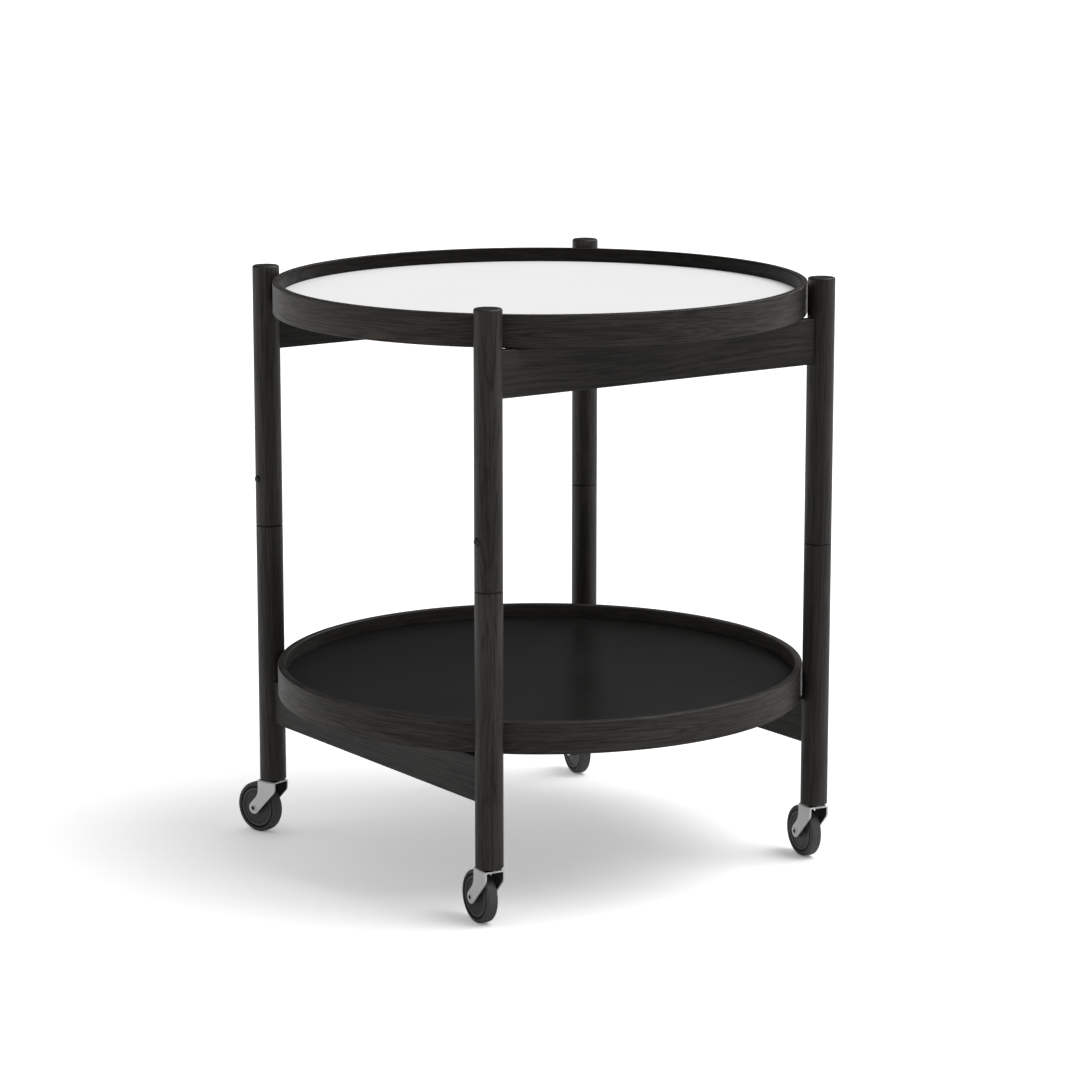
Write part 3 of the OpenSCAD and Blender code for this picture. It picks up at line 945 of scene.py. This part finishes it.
@dataclass(frozen=True)
class Tray:
    """A bent rim round a thin board with a white and a black face.

    A look gives a lightness factor and the oil's specular level. Outside, the lightness is partly the
    stain's tone and partly painted light; the inner look paints the light and shade on the rim's inner
    faces.
    """

    level: str
    effects: EffectLibrary
    wall: float = 7 * MM
    edge_radius: float = 1.2 * MM
    groove_depth: float = 3 * MM
    groove_play: float = 0.04 * MM
    inward_turn: float = -0.5
    # Lightness and specular level of the rim's outside; the lightness is partly the stain's tone and
    # partly painted light.
    outer_look: tuple[float, float] = (1.5, 0.27)
    # Lightness and specular level of a copy of the wood on the rim's inner faces: painted light and
    # shade for how the inside is lit.
    painted_inner_light: tuple[float, float] = (0.36, 0.1)
    tones: tuple[str, str, str] = ("181715", "3b3733", "483f38")
    pith: tuple[float, float] = (17 * MM, 4 * MM)
    cut_along: float = 2.3
    tilt: tuple[float, float] = (0.3, 0.7)
    ring_width: float = 1.7 * MM
    sway: float = 40 * MM

    def rim(self) -> None:
        """Model the rim with its rounded edges and its groove."""
        node = f"{self.level}_tray_rim"
        low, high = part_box(node)
        core_low, core_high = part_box(f"{self.level}_tray_core")
        outside = high.x
        inside = outside - self.wall
        groove = inside + self.groove_depth
        floor, roof = core_low.z - self.groove_play, core_high.z + self.groove_play
        turned = Lathe(
            (
                Corner(outside, low.z, self.edge_radius),
                Corner(outside, high.z, self.edge_radius),
                Corner(inside, high.z, self.edge_radius),
                Corner(inside, roof),
                Corner(groove, roof),
                Corner(groove, floor),
                Corner(inside, floor),
                Corner(inside, low.z, self.edge_radius),
            ),
            steps=288,
        )
        lightness_and_painted_light, specular = self.outer_look
        dark, light, warm = self.tones
        wood = StainedWood(
            f"stained_wood_{node}",
            self.effects,
            grain=Grain.ROUND_RIM,
            centre=Vector((0.0, (low.z + high.z) / 2, 0.0)),
            pith=Vector((*self.pith, self.cut_along)),
            tilt=self.tilt,
            ring_width=self.ring_width,
            sway=self.sway,
            hoop_radius=outside,
            lightness_and_painted_light=lightness_and_painted_light,
            dark=dark,
            light=light,
            warm=warm,
            specular=specular,
        )
        lightness_and_painted_light, specular = self.painted_inner_light
        painted_inner = replace(wood, name=f"stained_wood_painted_light_inside_{node}", lightness_and_painted_light=lightness_and_painted_light, specular=specular)
        tray = f"{self.level}_tray"
        piece = Piece(f"{tray}_hoop", tray, (node,), "stained_wood_rim", wood.build())
        hoop = piece.place(turned.spin())
        hoop.data.materials.append(painted_inner.build())
        # Faces turned inwards get the copy with painted light and shade: darker on the upper rim,
        # lighter on the lower one.
        for face in hoop.data.polygons:
            outward = Vector((face.center.x, face.center.y, 0.0)).normalized()
            if face.normal.dot(outward) < self.inward_turn:
                face.material_index = 1

    def board(self) -> None:
        """Finish the core board and its two laminates."""
        matt = {"specular": 0.0, "patch_scale": 6.0}
        layers = {
            "core": ("core_board", "6b5a45", "8a765c", (0.6, 0.75), {"patch_scale": 60.0}),
            "white_laminate": ("white_laminate", "f5f5f5", "f8f8f8", (0.34, 0.4), matt),
            "black_laminate": ("black_laminate", "151514", "1a1a1a", (0.3, 0.36), {"patch_scale": 6.0}),
        }
        for layer, (name, dark, light, roughness, extras) in layers.items():
            name = f"{self.level}_{name}"
            finish = SpeckledFinish(name, self.effects, dark, light, roughness, **extras)
            dress([f"{self.level}_tray_{layer}"], finish.build())

    def build(self) -> None:
        """Make the whole tray."""
        self.rim()
        self.board()


@dataclass(frozen=True)
class CastorFinishes:
    """The materials that all castors share."""

    zinc: Material
    # Darker zinc: painted shade inside the fork, on the crown under the leg and in the axle's hollows.
    painted_shade_zinc: Material
    hub: Material
    tyre: Material


@dataclass(frozen=True)
class Castor:
    """A swivelling castor: a folded fork, a riveted axle, a moulded hub and its tyre."""

    side: str
    finishes: CastorFinishes
    sheet: float = 1.6 * MM
    bend_radius: float = 2.2 * MM
    inside_width: float = 16.8 * MM
    crown_height: float = 29.5 * MM
    front: float = 10.1 * MM
    rear: float = 11.6 * MM
    tip_radius: float = 5.9 * MM
    tip_fullness: float = 0.999
    slope: float = 46.0
    front_bend: float = 7 * MM
    rear_bend: float = 12 * MM
    neck_radius: float = 3.55 * MM
    axle_radius: float = 2.5 * MM
    axle_play: float = 0.05 * MM
    fork_hole_play: float = 0.04 * MM
    rivet_radius: float = 3.3 * MM
    rivet_height: float = 0.9 * MM
    rivet_root: float = 0.2 * MM
    rivet_edge: float = 0.45 * MM
    hollow_radius: float = 1.9 * MM
    hollow_depth: float = 3 * MM
    hollow_mouth: float = 0.5 * MM
    hollow_floor: float = 0.25 * MM
    hollow_reach: float = 1.05
    collar_radius: float = 7.8 * MM
    nib_radius: float = 0.8 * MM
    nib_height: float = 0.8 * MM
    nib_edge: float = 0.3 * MM
    tyre_width: float = 11 * MM
    tyre_thickness: float = 4.6 * MM
    tyre_lip: float = 0.35 * MM
    tread_radius: float = 2.2 * MM
    tread_crown: float = 0.15 * MM
    tread_half: float = 1.2 * MM
    boss_radius: float = 6 * MM
    boss_proud: float = 2.6 * MM
    boss_root: float = 0.8 * MM
    boss_edge: float = 0.5 * MM
    bore_edge: float = 0.2 * MM
    ring_width: float = 1.9 * MM
    ring_groove: float = 1.1 * MM
    ring_root: float = 0.3 * MM
    ring_edge: float = 0.4 * MM
    web_depth: float = 0.9 * MM
    # Share of painted highlight on the hub's web and boss.
    web_painted_highlight: float = 0.45
    edge: float = 0.22 * MM
    sharp_turn: float = 55.0
    flat_turn: float = 0.85
    near: float = 0.01 * MM
    arc_steps: int = 7
    bend_steps: int = 6
    neck_steps: int = 16
    hole_steps: int = 32
    nib_steps: int = 24

    @property
    def wheel_place(self) -> Vector:
        """Centre of the wheel."""
        return joint_place(f"wheel_roll_{self.side}")

    @property
    def trail(self) -> Vector:
        """Level vector from the leg's axis to the wheel's centre."""
        trail = self.wheel_place - joint_place(f"castor_swivel_{self.side}")
        return Vector((trail.x, trail.y, 0.0))

    @property
    def half_width(self) -> float:
        """From the fork's middle to its outer side."""
        return self.inside_width / 2 + self.sheet

    def piece(self, made: str, part: str, body: str, slot: str, material: Material) -> Piece:
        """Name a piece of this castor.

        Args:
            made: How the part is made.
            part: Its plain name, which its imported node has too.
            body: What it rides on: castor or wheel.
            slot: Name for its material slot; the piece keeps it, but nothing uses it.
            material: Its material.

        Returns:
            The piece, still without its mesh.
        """
        name = f"castor_{self.side}_{made}_{part}"
        return Piece(name, f"{body}_{self.side}", (f"castor_{part}_{self.side}",), slot, material)

    def local(self) -> Matrix:
        """Place of the castor: X points along the trail, and the axle is at its end."""
        turn = Matrix.Rotation(math.atan2(self.trail.y, self.trail.x), 4, "Z")
        return Matrix.Translation(self.wheel_place - self.trail) @ turn

    def wheel_local(self) -> Matrix:
        """Place of a turned part whose axis lies along the axle."""
        return self.local() @ Matrix.Translation((self.trail.length, 0, 0)) @ UPRIGHT

    def cheek_corners(self) -> tuple[Corner, ...]:
        """Work out the outline of a cheek.

        Returns:
            Its corners, with the leg's axis at 0 and the axle at height 0.
        """
        angle = math.radians(self.slope)
        along = Vector((math.cos(angle), -math.sin(angle)))
        across = Vector((math.sin(angle), math.cos(angle)))
        axle = Vector((self.trail.length, 0.0))
        top = self.crown_height - self.bend_radius
        low = axle - self.tip_radius * across
        high = axle + self.tip_radius * across
        end = self.tip_radius * along
        front = low - along * (low.x + self.front) / along.x
        rear = high - along * (high.x - self.rear) / along.x
        return (
            Corner(-self.front, top),
            Corner(front.x, front.y, self.front_bend),
            Corner(*(low + end), self.tip_radius * self.tip_fullness),
            Corner(*(high + end), self.tip_radius * self.tip_fullness),
            Corner(rear.x, rear.y, self.rear_bend),
            Corner(self.rear, top),
        )

    def cheek(self, mesh: BMesh) -> None:
        """Draw one cheek with its axle hole, on the outer side of the sheet.

        Args:
            mesh: The fork's mesh.
        """
        out = Matrix.Translation((0, -self.half_width, 0))
        edges = draw_outline(mesh, self.cheek_corners(), self.arc_steps, out @ UPRIGHT)
        hole = bmesh.ops.create_circle(
            mesh,
            segments=self.hole_steps,
            radius=self.axle_radius + self.fork_hole_play,
            cap_ends=False,
            matrix=out @ Matrix.Translation((self.trail.length, 0, 0)) @ UPRIGHT,
        )
        edges += list({e for v in hole["verts"] for e in v.link_edges})
        bmesh.ops.triangle_fill(
            mesh, edges=edges, use_beauty=True, use_dissolve=False, normal=(0, -1, 0)
        )

    def bend(self, mesh: BMesh) -> list[BMVert]:
        """Carry the cheek's top edge round the bend.

        Args:
            mesh: The fork's mesh.

        Returns:
            The front and rear end of the edge past the bend.
        """
        top = max(v.co.z for v in mesh.verts)
        ends = [v for v in mesh.verts if v.co.z > top - self.near]
        made = bmesh.ops.spin(
            mesh,
            geom=[mesh.edges.get(ends), *ends],
            cent=(0, self.bend_radius - self.half_width, top),
            axis=(1, 0, 0),
            dvec=(0, 0, 0),
            angle=-math.radians(90),
            steps=self.bend_steps,
            use_duplicate=False,
        )
        last = [g for g in made["geom_last"] if isinstance(g, BMVert)]
        return sorted(last, key=lambda v: v.co.x)

    def crown(self, mesh: BMesh, front: BMVert, rear: BMVert) -> None:
        """Close half of the crown, with half of the hole for the neck.

        Args:
            mesh: The fork's mesh.
            front: Front end of the bend's last edge.
            rear: Rear end of that edge.
        """
        height, neck = front.co.z, self.neck_radius
        arc = [math.pi * i / self.neck_steps for i in range(self.neck_steps + 1)]
        points = [Vector((rear.co.x, 0, height))]
        points += [Vector((neck * math.cos(a), -neck * math.sin(a), height)) for a in arc]
        points.append(Vector((front.co.x, 0, height)))
        mesh.faces.new([front, rear, *[mesh.verts.new(p) for p in points]])

    def fork(self) -> None:
        """Fold the fork from one sheet and round its cut edges."""
        mesh = bmesh.new()
        self.cheek(mesh)
        self.crown(mesh, *self.bend(mesh))
        geom = [*mesh.verts, *mesh.edges, *mesh.faces]
        bmesh.ops.mirror(mesh, geom=geom, axis="Y", merge_dist=self.near)
        bmesh.ops.remove_doubles(mesh, verts=mesh.verts, dist=MERGE)
        bmesh.ops.recalc_face_normals(mesh, faces=mesh.faces)
        top = self.crown_height - self.near
        middle = next(f for f in mesh.faces if f.calc_center_median().z > top)
        if middle.normal.z < 0:
            bmesh.ops.reverse_faces(mesh, faces=mesh.faces)
        bmesh.ops.solidify(mesh, geom=list(mesh.faces), thickness=self.sheet)
        bmesh.ops.recalc_face_normals(mesh, faces=mesh.faces)
        limit = math.radians(self.sharp_turn)
        sharp = [e for e in mesh.edges if len(e.link_faces) == 2 and e.calc_face_angle() > limit]
        round_off(mesh, sharp, self.edge, 2, clamp=True)
        # Faces turned to the wheel and the crown's top under the leg get the darker zinc as painted
        # shade.
        for face in mesh.faces:
            face.material_index = int(self.gets_painted_shade(face))
        self.nib(mesh)
        piece = self.piece("folded", "fork", "castor", "zinc_plated_steel", self.finishes.zinc)
        fork = piece.place(mesh, self.local())
        fork.data.materials.append(self.finishes.painted_shade_zinc)

    def gets_painted_shade(self, face: BMFace) -> bool:
        """Tell whether a face of the sheet looks at the wheel, or at the leg's foot from the crown.

        Args:
            face: A face of the fork.

        Returns:
            Whether it gets the darker zinc, which is painted shade.
        """
        middle = face.calc_center_median()
        turned_in = face.normal.y * middle.y < 0 and abs(face.normal.y) > self.flat_turn
        on_crown = middle.z > self.crown_height - 2 * self.sheet
        return turned_in or on_crown and abs(face.normal.z) > self.flat_turn

    def nib(self, mesh: BMesh) -> None:
        """Add the small stop nib on the front of the crown.

        Args:
            mesh: The fork's mesh.
        """
        sunk = self.sheet / 2
        height = self.crown_height + (self.nib_height - sunk) / 2
        centre = Vector((-(self.collar_radius + self.front) / 2, 0, height))
        made = bmesh.ops.create_cone(
            mesh,
            cap_ends=True,
            segments=self.nib_steps,
            radius1=self.nib_radius,
            radius2=self.nib_radius,
            depth=self.nib_height + sunk,
            matrix=Matrix.Translation(centre),
        )
        top = height + (self.nib_height + sunk) / 2 - self.near
        edges = {e for v in made["verts"] for e in v.link_edges}
        rim = [e for e in edges if min(v.co.z for v in e.verts) > top]
        round_off(mesh, rim, self.nib_edge, 3)

    def axle(self) -> None:
        """Turn the axle, riveted over both cheeks, with a hollow in each end."""
        end = self.half_width + self.rivet_height
        upper = (
            Corner(self.axle_radius, self.half_width),
            Corner(self.rivet_radius, self.half_width, self.rivet_root),
            Corner(self.rivet_radius, end, self.rivet_edge),
            Corner(self.hollow_radius, end, self.hollow_mouth),
            Corner(self.hollow_radius, end - self.hollow_depth, self.hollow_floor),
            Corner(0.0, end - self.hollow_depth),
        )
        turned = Lathe(mirrored(upper) + upper, steps=64).spin()
        # The hollows in the axle's ends get the darker zinc as painted shade in the recess.
        for face in turned.faces:
            middle = face.calc_center_median()
            in_hollow = math.hypot(middle.x, middle.y) < self.hollow_radius * self.hollow_reach
            face.material_index = int(in_hollow and abs(face.normal.z) < self.flat_turn)
        piece = self.piece("riveted", "axle", "castor", "zinc_plated_steel", self.finishes.zinc)
        axle = piece.place(turned, self.wheel_local())
        axle.data.materials.append(self.finishes.painted_shade_zinc)

    def hub(self) -> None:
        """Mould the hub: a boss, a sunk web and a raised ring on both faces."""
        face = self.tyre_width / 2
        rim = self.wheel_place.z - self.tyre_thickness
        ring_out = rim - self.ring_groove
        ring_in = ring_out - self.ring_width
        boss = face + self.boss_proud
        web = face - self.web_depth
        half_sunk = face - self.web_depth / 2
        upper = (
            Corner(rim - self.fork_hole_play, face - self.ring_groove),
            Corner(ring_out, face - self.ring_groove, self.ring_root),
            Corner(ring_out, face, self.ring_edge),
            Corner(ring_in, face, self.ring_edge),
            Corner(ring_in - self.web_depth / 2, web, self.ring_root),
            Corner(self.boss_radius, web, self.boss_root),
            Corner(self.boss_radius, boss, self.boss_edge),
            Corner(self.axle_radius + self.axle_play, boss, self.bore_edge),
        )

        def painted_highlight(out: float, along: float) -> float:
            """Give the share of painted highlight: full on the raised ring, part on the web and boss,
            none in the dark groove round them.
            """
            on_ring = ring_in - self.edge < out < ring_out + self.edge and along > half_sunk
            return 1.0 if on_ring else 0.0 if out > ring_out else self.web_painted_highlight

        piece = self.piece("moulded", "hub", "wheel", "hub_plastic", self.finishes.hub)
        piece.place(Lathe(upper + mirrored(upper), steps=96).spin(painted_highlight), self.wheel_local())

    def tyre(self) -> None:
        """Mould the tyre, with a slightly crowned tread."""
        face = self.tyre_width / 2
        outside = self.wheel_place.z
        inside = outside - self.tyre_thickness
        shoulder = outside - self.tread_crown
        upper = (
            Corner(inside, face, self.tyre_lip),
            Corner(shoulder, face, self.tread_radius),
            Corner(outside, self.tread_half),
        )

        def painted_highlight(out: float, along: float) -> float:
            """Give the share of painted highlight: full on the tread and the tyre's shoulders, fading to
            none in the dark groove beside the hub.
            """
            return min(1.0, max(0.0, (out - inside - self.edge) / self.tread_radius))

        turned = Lathe(upper + mirrored(upper), steps=128, arc_steps=self.arc_steps).spin(painted_highlight)
        piece = self.piece("moulded", "tyre", "wheel", "tyre_rubber", self.finishes.tyre)
        piece.place(turned, self.wheel_local())

    def build(self) -> None:
        """Make the whole castor."""
        self.fork()
        self.axle()
        self.hub()
        self.tyre()


def pointing(azimuth: float, zenith: float) -> Vector:
    """Unit vector towards a place in the studio, from its azimuth and its angle from straight up."""
    turn, lean = radians(azimuth, zenith)
    return Vector((math.sin(lean) * math.cos(turn), math.sin(lean) * math.sin(turn), math.cos(lean)))


@dataclass(frozen=True)
class Studio:
    """Camera, floor, lamps and surroundings."""

    camera_place: tuple[float, float, float] = (-1.9549, -2.7768, 0.9825)
    camera_turn: float = 35.145
    camera_tilt: float = 11.3445
    lens: float = 121.61
    sensor: float = 36.0
    sight: float = 100.0
    floor_size: float = 60.0
    floor_tone: float = 0.55
    floor_seen: float = 1.31
    floor_mirrored: float = 1.19
    floor_glow: float = 0.15
    key_strength: float = 1.41
    key_from: tuple[float, float] = (310.0, 32.0)
    key_spread: float = 45.0
    surround: float = 0.67
    surround_dip: float = 0.46
    ceiling: float = 0.06
    wall_height: float = 0.13
    dark_side: float = 235.0
    dark_edges: tuple[float, float] = (0.1, 0.85)
    dark_level: float = 0.3
    bright_level: float = 0.75
    strip_from: tuple[float, float] = (10.0, 48.0)
    strip_reach: tuple[float, float] = (20.0, 10.0)
    strip_strength: float = 5.0

    def camera(self) -> None:
        """Set the camera at the photograph's viewpoint, tilted down and without shift."""
        data = bpy.data.cameras.new("camera")
        data.lens = self.lens
        data.sensor_width = self.sensor
        data.clip_end = self.sight
        item = to_scene("camera", data)
        item.location = self.camera_place
        tilt, turn = radians(90.0 - self.camera_tilt, -self.camera_turn)
        item.rotation_euler = (tilt, 0.0, turn)
        bpy.context.scene.camera = item

    @staticmethod
    def shown_rays(board: NodeBoard) -> tuple[NodeSocket, NodeSocket]:
        """Tell which rays show the surroundings.

        Args:
            board: Board of the material or world.

        Returns:
            A share for rays from the camera, and one for rays that reflect or pass through.
        """
        path = board.add("ShaderNodeLightPath").outputs
        through = board.number_of("MAXIMUM", path["Is Glossy Ray"], path["Is Transmission Ray"])
        return path["Is Camera Ray"], through

    def level_round(
        self, board: NodeBoard, direction: NodeSocket, bright: float, dark: float
    ) -> NodeSocket:
        """Tell how bright the studio is in a direction, with its darker side at the photographer.

        Args:
            board: Board of the material or world.
            direction: Vector from the table to that part of the studio.
            bright: Brightness on the three light sides.
            dark: Brightness on the photographer's side.

        Returns:
            The brightness.
        """
        level = board.vector_of("NORMALIZE", board.level(direction))
        towards = pointing(self.dark_side, 90.0)
        near = board.vector_of("DOT_PRODUCT", level, towards, result="Value")
        return board.ramp(near, *self.dark_edges, bright, dark)

    def floor(self) -> None:
        """Lay a pale floor that keeps the table's shadow."""
        mesh = bmesh.new()
        bmesh.ops.create_grid(mesh, x_segments=1, y_segments=1, size=self.floor_size / 2)
        item = to_scene("studio_floor", to_data(mesh, "studio_floor"))
        material = bpy.data.materials.new("pale_floor")
        board = NodeBoard.opened(material)
        camera, indirect = self.shown_rays(board)
        place = board.add("ShaderNodeTexCoord").outputs["Object"]
        levels = (self.floor_mirrored * level for level in (self.bright_level, self.dark_level))
        mirror = self.level_round(board, place, *levels)
        lit = board.ramp(camera, 0.0, 1.0, self.floor_tone, self.floor_seen)
        pale = board.add("ShaderNodeBsdfDiffuse", {"Color": board.blend(indirect, lit, mirror)})
        glow = {"Color": (1.0, 1.0, 1.0, 1.0), "Strength": board.times(camera, self.floor_glow)}
        shine = board.add("ShaderNodeEmission", glow)
        both = board.add("ShaderNodeAddShader", {0: pale.outputs[0], 1: shine.outputs[0]})
        board.add("ShaderNodeOutputMaterial", {"Surface": both.outputs[0]})
        item.data.materials.append(material)

    def key_lamp(self) -> None:
        """Hang a broad soft lamp high on the right."""
        data = bpy.data.lights.new("key_lamp", "SUN")
        data.energy = self.key_strength
        data.angle = math.radians(self.key_spread)
        item = to_scene("key_lamp", data)
        item.rotation_euler = (-pointing(*self.key_from)).to_track_quat("-Z", "Y").to_euler()

    def surroundings(self) -> None:
        """Light the table evenly from all round, in front of a white background."""
        world = bpy.data.worlds.new("studio")
        board = NodeBoard.opened(world)
        camera, indirect = self.shown_rays(board)
        direction = board.add("ShaderNodeTexCoord").outputs["Generated"]
        height = board.add("ShaderNodeSeparateXYZ", {0: direction}).outputs[2]
        wall = self.level_round(board, direction, self.bright_level, self.dark_level)
        wall = board.times(board.ramp(height, 0.0, self.wall_height, 1.0, 0.0), wall)
        wall = board.number_of("ADD", wall, self.ceiling)
        near = board.vector_of("DOT_PRODUCT", direction, pointing(*self.strip_from), result="Value")
        edges = [math.cos(angle) for angle in radians(*self.strip_reach)]
        strip = board.ramp(near, *edges, 0.0, self.strip_strength)
        wall = board.number_of("ADD", wall, strip)
        dip = self.surround * self.surround_dip
        soft = self.level_round(board, direction, self.surround, dip)
        seen = board.number_of("MAXIMUM", camera, board.blend(indirect, soft, wall))
        light = {"Color": (1.0, 1.0, 1.0, 1.0), "Strength": seen}
        background = board.add("ShaderNodeBackground", light)
        board.add("ShaderNodeOutputWorld", {"Surface": background.outputs[0]})
        bpy.context.scene.world = world

    def build(self) -> None:
        """Set up the whole studio."""
        bpy.context.scene.view_settings.view_transform = "Standard"
        self.camera()
        self.floor()
        self.key_lamp()
        self.surroundings()


def castor_finishes(effects: EffectLibrary) -> CastorFinishes:
    """Make the castors' materials.

    Args:
        effects: The shared node groups.

    Returns:
        The materials.
    """
    zinc = SpeckledFinish(
        "zinc_plate",
        effects,
        "f1f1f0",
        "f7f7f6",
        (0.3, 0.36),
        metallic=0.25,
        fine_scale=1400.0,
        patch_scale=60.0,
        bump=0.08,
    )
    # A darker copy of the zinc, used only as painted shade.
    painted_shade_zinc = replace(zinc, name="zinc_plate_painted_shade", dark="424244", light="515153")
    # Hub and tyre: the lighter tone is a painted highlight on the hub's ring and web and on the tyre's
    # tread and shoulders.
    hub = SpeckledFinish(
        "moulded_hub_plastic", effects, "171717", "1f1f1f", (0.42, 0.52), patch_scale=90.0, painted_highlight="5e5e5e"
    )
    tyre = SpeckledFinish(
        "soft_tyre_rubber", effects, "1b1b1b", "232323", (0.5, 0.6), patch_scale=70.0, painted_highlight="515151"
    )
    return CastorFinishes(*(finish.build() for finish in (zinc, painted_shade_zinc, hub, tyre)))


def main() -> None:
    """Build the table in order and report each piece."""
    logging.basicConfig(level=logging.INFO, format="%(message)s")
    Studio().build()
    effects = EffectLibrary()
    FoldingFrame(effects).build()
    Tray("upper", effects).build()
    # The lower tray's rim is lighter than the upper one, outside and inside: partly painted light.
    Tray(
        "lower",
        effects,
        outer_look=(2.0, 0.2),
        painted_inner_light=(2.2, 0.4),
        tones=("1c1b19", "363431", "3a3632"),
        cut_along=6.3,
    ).build()
    steel = SpeckledFinish(
        "black_screw_steel", effects, "404040", "505050", (0.26, 0.34), metallic=0.8, patch_scale=300.0
    ).build()
    for pair, sides in (("front", ("front", "right")), ("back", ("left", "back"))):
        name, node, body = f"lock_screws_on_{pair}_pair", f"lock_screws_{pair}", f"upper_{pair}_frame"
        LockScrews(name, node, body, sides, steel).build()
    finishes = castor_finishes(effects)
    for side in SIDES:
        Castor(side, finishes).build()


if __name__ == "__main__":
    main()
